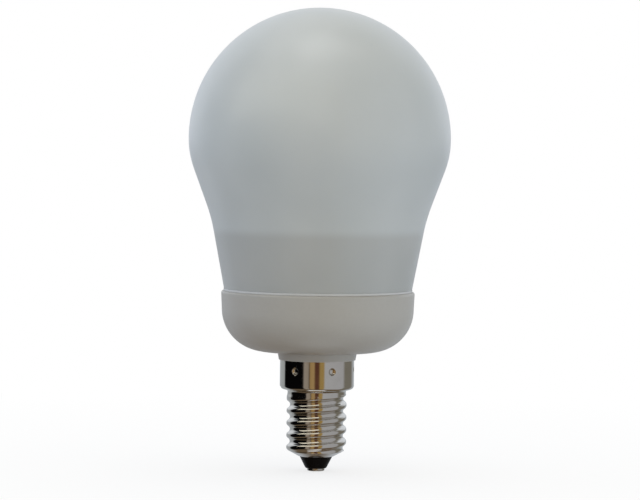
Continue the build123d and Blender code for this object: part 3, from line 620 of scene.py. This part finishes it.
# Node, material, darker and lighter tone, grain in mm, range of roughness, relief in mm, kind
FINISHES = (
    # Moulded plastic, a little yellowed: one even tone under a soft, broad gloss
    ("housing", "pbt_moulded_satin", "#ACA9A2", "#B2AFA8", 0.7, (0.3, 0.42), 0.01, PLAIN),
    ("tube_holder", "pbt_moulded_white", "#B9B7AF", "#C4C2BA", 0.8, (0.4, 0.55), 0.01, PLAIN),
    # Glass fused into the cap: black all over, with hardly a glint
    ("cap_insulator", "black_glass_fused", "#0A0A0B", "#101011", 0.9, (0.3, 0.45), 0.02, DULL),
    # Brass with a coat of tin: bright, but smeared
    ("centre_contact", "tin_dipped_brass", "#B3B0AA", "#D3D1CC", 0.6, (0.2, 0.4), 0.02, METAL),
    # Silicone, wiped on: pale and waxy, with an uneven gloss
    ("globe_cement", "silicone_bead", "#C3C3C1", "#CCCCCA", 1.5, (0.35, 0.6), 0.05, PLAIN),
    ("tube_cement", "silicone_sleeve", "#CFCDC4", "#DAD8D0", 1.2, (0.4, 0.6), 0.05, PLAIN),
    # Glass with phosphor inside: chalk white under a sharp gloss
    ("discharge_tube", "phosphor_coated_glass", "#E4E3DC", "#EEEDE8", 2.5, (0.15, 0.22), 0.0, GLAZED),
    # Tinned wire: a soft grey shine
    ("tube_leads", "tinned_wire_drawn", "#A9A8A4", "#C9C8C4", 0.4, (0.25, 0.45), 0.01, METAL),
    # Paper pressed with resin: brown, with flecks, and nearly matt
    ("ballast_board", "paper_laminate_pressed", "#A98549", "#C49F60", 0.9, (0.5, 0.65), 0.01, PLAIN),
    # Sintered ferrite: dull dark grey, like slate
    ("choke_core", "ferrite_sintered", "#2B2B2D", "#3A3A3C", 0.5, (0.5, 0.7), 0.03, PLAIN),
    ("feedback_core", "ferrite_ring_sintered", "#313134", "#414144", 0.5, (0.5, 0.7), 0.03, PLAIN),
    # Moulded nylon: black, with a dull sheen
    ("choke_bobbin", "nylon_moulded_black", "#1B1B1B", "#262626", 0.6, (0.4, 0.55), 0.01, PLAIN),
    # Copper wire under clear enamel: warm and bright
    ("choke_winding", "enamelled_copper_wound", "#8C4420", "#C4743A", 0.35, (0.2, 0.35), 0.08, METAL),
    ("feedback_windings", "enamelled_copper_wire", "#9A4C22", "#C0703A", 0.5, (0.2, 0.3), 0.0, METAL),
    # Film shrunk on a can: dark blue, smooth and glossy
    ("smoothing_capacitor", "sleeve_shrunk_on_can", "#1A2144", "#232B52", 1.5, (0.2, 0.35), 0.03, PLAIN),
    # Dipped epoxy: a thick red coat, glossy and a little wavy
    ("film_capacitors", "epoxy_dipped_red", "#8C2A1C", "#A5382A", 1.0, (0.15, 0.3), 0.06, PLAIN),
    # Moulded epoxy: black and matt
    ("switching_transistors", "epoxy_moulded_black", "#1C1C1D", "#262627", 0.4, (0.45, 0.6), 0.02, PLAIN),
    ("rectifier_diodes", "epoxy_moulded_diode", "#1A1A1B", "#2A2A2B", 0.4, (0.4, 0.55), 0.02, PLAIN),
    # Dipped lacquer: a dull green skin
    ("fuse_resistor", "lacquer_dipped_green", "#4C6B55", "#5F8069", 0.6, (0.35, 0.5), 0.03, PLAIN),
    # Extruded plastic: a plain colour, a little waxy
    ("live_wire", "pvc_extruded_brown", "#5A3A26", "#6B4730", 0.7, (0.35, 0.5), 0.01, PLAIN),
    ("neutral_wire", "pvc_extruded_blue", "#2C4A86", "#3A5A99", 0.7, (0.35, 0.5), 0.01, PLAIN),
)
print(len(FINISHES), "finishes in the table")

# %% Grained finishes


def grained(name, dark, light, grain, rough, depth, metallic=0.0, coat=0.0, specular=0.5):
    """Two close tones in a grain of some millimetres, with a range of roughness and a little relief."""
    material, tree = new_material(name)
    shader = tree.nodes["Principled BSDF"]
    place = add_node(tree, "ShaderNodeTexCoord").outputs["Object"]
    grains = add_node(
        tree, "ShaderNodeTexNoise", None,
        {"Vector": place, "Scale": 1 / (grain * MM), "Detail": 4.0, "Roughness": 0.6},
    )
    colour = add_node(
        tree, "ShaderNodeMix", {"data_type": "RGBA"},
        {0: grains.outputs["Fac"], 6: linear(dark), 7: linear(light)},
    )
    rougher = add_node(
        tree, "ShaderNodeMapRange", None,
        {
            "Value": grains.outputs["Fac"], "From Min": NOISE_LOW, "From Max": NOISE_HIGH,
            "To Min": rough[0], "To Max": rough[1],
        },
    )
    bump = add_node(
        tree, "ShaderNodeBump", None,
        {"Height": grains.outputs["Fac"], "Strength": 0.5, "Distance": depth * MM},
    )
    tree.links.new(colour.outputs[2], shader.inputs["Base Color"])
    tree.links.new(rougher.outputs["Result"], shader.inputs["Roughness"])
    tree.links.new(bump.outputs["Normal"], shader.inputs["Normal"])
    shader.inputs["Metallic"].default_value = metallic
    shader.inputs["Coat Weight"].default_value = coat
    shader.inputs["Specular IOR Level"].default_value = specular
    return material


for node, *recipe, kind in FINISHES:
    nodes[node].data.materials.clear()
    nodes[node].data.materials.append(grained(*recipe, **kind))
print("the housing is", nodes["housing"].data.materials[0].name)

# %% [markdown]
# ## The silicone bead
#
# The globe's neck stands in a bed of silicone. What is pressed out of it fills the groove between the
# glass and the rim and is wiped off flush with both, so the joint shows no gap. A plain ring would
# leave one. So the outline follows the glass on one side and the rim on the other, with a hair's
# breadth to spare, and ends where it began.

# %% Bead
HAIR = 0.03 * MM
BED_RADIUS = 19.85 * MM
RIM_BORE = 21.2 * MM
RIM_BEVEL = 0.4 * MM
BEAD_RISE = 0.38 * MM
BEAD_LAP = 0.11 * MM
BEAD_ROW = 0.2 * MM
BEAD_SEGMENTS = 180

cement_low, cement_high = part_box("globe_cement")
bead_edge = (lip.x + BEAD_LAP, lip.y + BEAD_RISE)
bead_corners = (
    bead_edge,
    (lip.x + HAIR, lip.y - HAIR / 2, LIP_ROUND + HAIR),
    (NECK_RADIUS + HAIR, neck_top - HAIR / 2, LIP_ROUND - HAIR),
    (NECK_RADIUS + HAIR, globe_low.z - HAIR, HAIR),
    (BED_RADIUS, globe_low.z - HAIR, HAIR),
    (BED_RADIUS, cement_low.z, HAIR),
    (cement_high.x, cement_low.z, HAIR),
    (cement_high.x, rim_top - RIM_BEVEL - HAIR, HAIR),
    (RIM_BORE + RIM_BEVEL - 2 * HAIR, rim_top, HAIR / 2),
    (RIM_BORE + RIM_BEVEL + HAIR, rim_top + HAIR, HAIR / 2),
    bead_edge,
)
bead = new_piece("silicone_bead", turned("silicone_bead", rounded(bead_corners, BEAD_ROW), BEAD_SEGMENTS))
settle(bead)
bead.data.materials.append(nodes["globe_cement"].data.materials[0])

# %% [markdown]
# ## The floor
#
# The bulb stands on a white floor. The camera sees the floor as plain white, apart from the bulb's
# shadow: a share of plain glow lifts it to white, and the share is lower near the bulb, where the
# shadow falls. The light that the floor sends up on the bulb is another thing: beside the bulb's foot
# the floor is painted brown where the camera doesn't see it, as painted warm shade on the bulb's
# underside, and further out it is pale. Two floors could do this, but one shader can tell which ray
# asks. Mirrors don't see the floor, because they have a wall of their own below.
# From here on sizes are in metres.

# %% Paint of the floor
SHADOW_SHARE = 0.25
SHADOW_REACH = 0.2
# Painted shade: a brown patch round this place, seen only by light bounced up onto the bulb, darkens and
# warms its underside
PAINTED_BOUNCE_SHADE_MIDDLE = (-0.04, -0.01, 0.0)
PAINTED_BOUNCE_SHADE_INSIDE = 0.03
PAINTED_BOUNCE_SHADE_OUTSIDE = 0.09


def floor_paint():
    material, tree = new_material("floor_pale_paint")
    tree.nodes.clear()
    seen = add_node(tree, "ShaderNodeLightPath").outputs["Is Camera Ray"]
    place = add_node(tree, "ShaderNodeTexCoord").outputs["Object"]
    away = add_node(tree, "ShaderNodeVectorMath", {"operation": "LENGTH"}, {0: place})
    from_painted_bounce_shade = add_node(
        tree, "ShaderNodeVectorMath", {"operation": "DISTANCE"}, {0: place, 1: PAINTED_BOUNCE_SHADE_MIDDLE}
    )
    outer = add_node(
        tree, "ShaderNodeMapRange", None,
        {"Value": from_painted_bounce_shade.outputs["Value"], "From Min": PAINTED_BOUNCE_SHADE_INSIDE, "From Max": PAINTED_BOUNCE_SHADE_OUTSIDE},
    )
    # Painted shade: brown near the bulb's foot and pale further out, for the light the floor sends up
    bounce = add_node(
        tree, "ShaderNodeMix", {"data_type": "RGBA"},
        {0: outer.outputs["Result"], 6: linear("#8C7252"), 7: linear("#ECF1F8")},
    )
    tone = add_node(
        tree, "ShaderNodeMix", {"data_type": "RGBA"}, {0: seen, 6: bounce.outputs[2], 7: linear("#F0F0F0")}
    )
    matt = add_node(tree, "ShaderNodeBsdfDiffuse", None, {"Color": tone.outputs[2]})
    glow = add_node(tree, "ShaderNodeEmission", None, {"Color": linear("#FFFFFF"), "Strength": 1.0})
    share = add_node(
        tree, "ShaderNodeMapRange", None,
        {"Value": away.outputs["Value"], "From Max": SHADOW_REACH, "To Min": 1 - SHADOW_SHARE},
    )
    amount = add_node(
        tree, "ShaderNodeMath", {"operation": "MULTIPLY"}, {0: seen, 1: share.outputs["Result"]}
    )
    blend = add_node(
        tree, "ShaderNodeMixShader", None,
        {0: amount.outputs["Value"], 1: matt.outputs["BSDF"], 2: glow.outputs["Emission"]},
    )
    add_node(tree, "ShaderNodeOutputMaterial", None, {"Surface": blend.outputs["Shader"]})
    return material


FLOOR_PAINT = floor_paint()
print("made", FLOOR_PAINT.name)

# %% Floor
FLOOR_SIZE = 3.0


def flat_sheet(name, corners):
    """A piece of one face with four corners."""
    mesh = bpy.data.meshes.new(name)
    mesh.from_pydata(corners, [], [(0, 1, 2, 3)])
    return new_piece(name, mesh)


half = FLOOR_SIZE / 2
floor_corners = [(-half, -half, 0), (half, -half, 0), (half, half, 0), (-half, half, 0)]
floor = flat_sheet("floor", floor_corners)
floor.data.materials.append(FLOOR_PAINT)
floor.visible_glossy = False
print("floor", FLOOR_SIZE, "m wide")

# %% [markdown]
# ## The room's light
#
# Camera, mirrors and clear glass see a plain white room. What lights the bulb is the same room, but
# soft daylight comes in from both sides and from behind: it is stronger and cooler there and weaker
# and warmer in front. A picture of a real room would do, but a rule on the direction is enough. The
# square of its X grows towards both sides, and a dot product grows towards one. A sum of the two
# gives the share of cool light, and another sum gives the strength.

# %% Room
COOL_BASE = 0.02
COOL_BESIDE = 1.1
COOL_TOWARDS = (-0.16, 0.3, 0.16)
STRENGTH_BASE = 1.01
STRENGTH_BESIDE = 0.66
STRENGTH_TOWARDS = (-0.09, 0.43, -0.05)


def lit_room():
    world = bpy.data.worlds.new("white_room")
    world.use_nodes = True
    # Without this the room's light would also be sampled straight through the wall that mirrors see
    world.cycles.sampling_method = "NONE"
    tree = world.node_tree
    tree.nodes.clear()
    direction = add_node(tree, "ShaderNodeTexCoord").outputs["Generated"]
    across = add_node(tree, "ShaderNodeSeparateXYZ", None, {"Vector": direction}).outputs["X"]
    beside = add_node(tree, "ShaderNodeMath", {"operation": "MULTIPLY"}, {0: across, 1: across})
    sums = []
    for base, from_sides, towards in (
        (COOL_BASE, COOL_BESIDE, COOL_TOWARDS),
        (STRENGTH_BASE, STRENGTH_BESIDE, STRENGTH_TOWARDS),
    ):
        facing = add_node(
            tree, "ShaderNodeVectorMath", {"operation": "DOT_PRODUCT"}, {0: direction, 1: towards}
        )
        uneven = add_node(
            tree, "ShaderNodeMath", {"operation": "MULTIPLY_ADD"},
            {0: beside.outputs["Value"], 1: from_sides, 2: facing.outputs["Value"]},
        )
        whole = add_node(
            tree, "ShaderNodeMath", {"operation": "ADD"}, {0: uneven.outputs["Value"], 1: base}
        )
        sums.append(whole.outputs["Value"])
    cool, strength = sums
    tint = add_node(
        tree, "ShaderNodeMix", {"data_type": "RGBA"}, {0: cool, 6: linear("#FFF8E4"), 7: linear("#CFDEF8")}
    )
    daylight = add_node(
        tree, "ShaderNodeBackground", None, {"Color": tint.outputs[2], "Strength": strength}
    )
    white = add_node(tree, "ShaderNodeBackground", None, {"Color": linear("#FFFFFF"), "Strength": 1.0})
    path = add_node(tree, "ShaderNodeLightPath")
    seen = path.outputs["Is Camera Ray"]
    for ray in ("Is Glossy Ray", "Is Transmission Ray"):
        either = add_node(tree, "ShaderNodeMath", {"operation": "MAXIMUM"}, {0: seen, 1: path.outputs[ray]})
        seen = either.outputs["Value"]
    room = add_node(
        tree, "ShaderNodeMixShader", None,
        {0: seen, 1: daylight.outputs["Background"], 2: white.outputs["Background"]},
    )
    add_node(tree, "ShaderNodeOutputWorld", None, {"Surface": room.outputs["Shader"]})
    return world


bpy.context.scene.world = lit_room()
print("room", bpy.context.scene.world.name)

# %% [markdown]
# ## The lamp
#
# One weak softbox hangs overhead. It lays a soft shadow round the bulb's foot and a bright patch on
# the top of the globe. A point lamp would do the first with a hard edge and miss the second.

# %% Lamp
LAMP_SIZE = 0.4
LAMP_POWER = 0.5
LAMP_PLACE = Vector((0.0, -0.04, 0.8))

lamp = bpy.data.lights.new("ceiling_softbox", "AREA")
lamp.shape = "DISK"
lamp.size = LAMP_SIZE
lamp.energy = LAMP_POWER
softbox = bpy.data.objects.new("ceiling_softbox", lamp)
softbox.location = LAMP_PLACE
softbox.rotation_euler = (-LAMP_PLACE).to_track_quat("-Z", "Y").to_euler()
bpy.context.collection.objects.link(softbox)
print("softbox", LAMP_SIZE, "m across,", LAMP_PLACE.z, "m up")

# %% [markdown]
# ## What the mirrors see
#
# Bright plate has hardly any colour of its own: it shows the room round it. In a plain white room the
# cap would be a white blank. So a wall that only mirrors see stands round the bulb, as a photographer
# sets cards round silver. It is painted in upright stripes, which a colour ramp reads by the angle
# from the camera's side. Glass and housing mirror it too, as a faint soft shade.

# %% Stripes
# Angle in degrees, to the right of the camera's side, and colour
STRIPES = (
    (-180, "#B9BEC4"),
    (-121, "#A9ADB0"),
    (-116, "#080708"),
    (-44, "#080708"),
    (-39, "#9A8F84"),
    (-27, "#968A7C"),
    (-23.5, "#5C4E42"),
    (-20, "#A38658"),
    (-9, "#A98C60"),
    (-5, "#5A3A2C"),
    (6, "#5A3A2C"),
    (10, "#A18650"),
    (21, "#A18650"),
    (25, "#B0B0B2"),
    (88, "#ACACAF"),
    (97, "#7D796F"),
    (130, "#7B776E"),
    (150, "#B4B9BE"),
    (180, "#B9BEC4"),
)


def striped(tree, axes):
    """Colour of the stripes at the angle of a place on the wall."""
    front = add_node(tree, "ShaderNodeMath", {"operation": "MULTIPLY"}, {0: axes.outputs["Y"], 1: -1.0})
    angle = add_node(
        tree, "ShaderNodeMath", {"operation": "ARCTAN2"}, {0: axes.outputs["X"], 1: front.outputs["Value"]}
    )
    round_share = add_node(
        tree, "ShaderNodeMapRange", None, {"Value": angle.outputs["Value"], "From Min": -pi, "From Max": pi}
    )
    stripes = add_node(tree, "ShaderNodeValToRGB", None, {"Fac": round_share.outputs["Result"]})
    ramp = stripes.color_ramp.elements
    ramp.remove(ramp[-1])
    ramp[0].position = 0.0
    ramp[0].color = linear(STRIPES[0][1])
    for degree, colour in STRIPES[1:]:
        ramp.new((degree + 180) / 360).color = linear(colour)
    return stripes.outputs["Color"]


print(len(STRIPES), "stripes")

# %% [markdown]
# The wall isn't the same at all heights. It turns brown towards the floor, pale at the back above the
# cap, as from a window there, and white at the ceiling, less so on the right. Each of these could be
# a card of its own. Here each is a colour laid over the one before, by a share that grows along an axis.

# %% Paint of the wall
# Axis, and the places on it where a colour starts and is full
TOWARDS_FLOOR = ("Z", -0.25, -0.5)
WINDOW_BACK = ("Y", 0.12, 0.32)
WINDOW_SILL = ("Z", 0.025, 0.08)
TOWARDS_CEILING = ("Z", 0.45, 0.75)
CEILING_RIGHT = ("X", -0.05, 0.25)


def share_along(tree, axes, place, most=1.0):
    """Share that grows from none to the most between two places on an axis."""
    axis, start, end = place
    share = add_node(
        tree, "ShaderNodeMapRange", None,
        {"Value": axes.outputs[axis], "From Min": start, "From Max": end, "To Max": most},
    )
    return share.outputs["Result"]


def wall_paint():
    material, tree = new_material("studio_wall_stripes")
    tree.nodes.clear()
    place = add_node(tree, "ShaderNodeTexCoord").outputs["Object"]
    axes = add_node(tree, "ShaderNodeSeparateXYZ", None, {"Vector": place})
    above_sill = share_along(tree, axes, WINDOW_SILL)
    ceiling = add_node(
        tree, "ShaderNodeMix", {"data_type": "RGBA"},
        {0: share_along(tree, axes, CEILING_RIGHT), 6: linear("#FDFDFB"), 7: linear("#C2C0BC")},
    )
    colour = striped(tree, axes)
    for share, layer in (
        (share_along(tree, axes, TOWARDS_FLOOR), linear("#6B5C49")),
        (share_along(tree, axes, WINDOW_BACK, above_sill), linear("#E4E9F0")),
        (share_along(tree, axes, TOWARDS_CEILING), ceiling.outputs[2]),
    ):
        mixed = add_node(tree, "ShaderNodeMix", {"data_type": "RGBA"}, {0: share, 6: colour, 7: layer})
        colour = mixed.outputs[2]
    light = add_node(tree, "ShaderNodeEmission", None, {"Color": colour, "Strength": 1.0})
    add_node(tree, "ShaderNodeOutputMaterial", None, {"Surface": light.outputs["Emission"]})
    return material


WALL_PAINT = wall_paint()
print("made", WALL_PAINT.name)

# %% Studio wall
WALL_DISTANCE = 0.4
WALL_LOW = -1.5
WALL_HIGH = 1.0
WALL_SEGMENTS = 90


def mirrored_only(piece):
    """Hides a stage piece from everything but reflections."""
    piece.visible_camera = False
    piece.visible_diffuse = False
    piece.visible_transmission = False
    piece.visible_shadow = False


wall_outline = ((WALL_DISTANCE, WALL_LOW), (WALL_DISTANCE, WALL_HIGH), (0, WALL_HIGH))
wall = new_piece("studio_wall", turned("studio_wall", wall_outline, WALL_SEGMENTS))
wall.data.materials.append(WALL_PAINT)
mirrored_only(wall)
print("wall", 2 * WALL_DISTANCE, "m across")

# %% [markdown]
# ## The white card
#
# Each crest of the thread has a short bright glint at the left of its middle. A lamp there would give
# glints, but it would light the glass and the housing too. A white card to the left of the camera's
# line, higher than the bulb, gives them to the mirrors alone.

# %% White card
CARD_WIDTH = 0.53
CARD_LOW = 0.15
CARD_HIGH = 0.45
CARD_DISTANCE = 0.24
CARD_ANGLE = radians(-40)


def card_paper():
    material, tree = new_material("card_white_paper")
    tree.nodes.clear()
    light = add_node(tree, "ShaderNodeEmission", None, {"Color": linear("#FFF8E4"), "Strength": 1.0})
    add_node(tree, "ShaderNodeOutputMaterial", None, {"Surface": light.outputs["Emission"]})
    return material


card_middle = Vector((sin(CARD_ANGLE), -cos(CARD_ANGLE), 0)) * CARD_DISTANCE
card_side = Vector((cos(CARD_ANGLE), sin(CARD_ANGLE), 0)) * CARD_WIDTH / 2
card_corners = [
    card_middle + card_side * side + Vector((0, 0, height))
    for side, height in ((-1, CARD_LOW), (1, CARD_LOW), (1, CARD_HIGH), (-1, CARD_HIGH))
]
card = flat_sheet("white_card", card_corners)
card.data.materials.append(card_paper())
mirrored_only(card)
print("card from", CARD_LOW, "to", CARD_HIGH, "m")

# %% [markdown]
# ## The camera
#
# The bulb is seen from a little above its middle. A short lens close by would show the globe larger
# against the cap. A long lens further off keeps the proportions, and the upright lines upright. The
# picture leans by less than a degree, so the camera is rolled by that.

# %% Camera
# Lens and sensor in millimetres, as Blender takes them
LENS = 172
SENSOR = 36
EYE = Vector((0, -0.7, 0.079))
AIM = Vector((0.00035, 0, 0.0507))
ROLL = radians(0.7)

lens = bpy.data.cameras.new("camera")
lens.lens = LENS
lens.sensor_width = SENSOR
camera = bpy.data.objects.new("camera", lens)
camera.location = EYE
level = (AIM - EYE).to_track_quat("-Z", "Y").to_matrix()
camera.rotation_euler = (level @ Matrix.Rotation(ROLL, 3, "Z")).to_euler()
bpy.context.collection.objects.link(camera)
bpy.context.scene.camera = camera
bpy.context.scene.view_settings.view_transform = "Standard"
print("camera", round((AIM - EYE).length, 2), "m from the bulb")

# %% [markdown]
# ## Hand the pieces over
#
# The three new pieces ride on the bulb's one body and stand for their CAD nodes, which are hidden.

# %% Bodies and nodes
REMADE = (
    (globe, "globe_cover", "opal_glass"),
    (cap, "screw_shell", "nickel_plate"),
    (bead, "globe_cement", "silicone"),
)
for piece, node, slot in REMADE:
    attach(piece, "root")
    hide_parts(node)
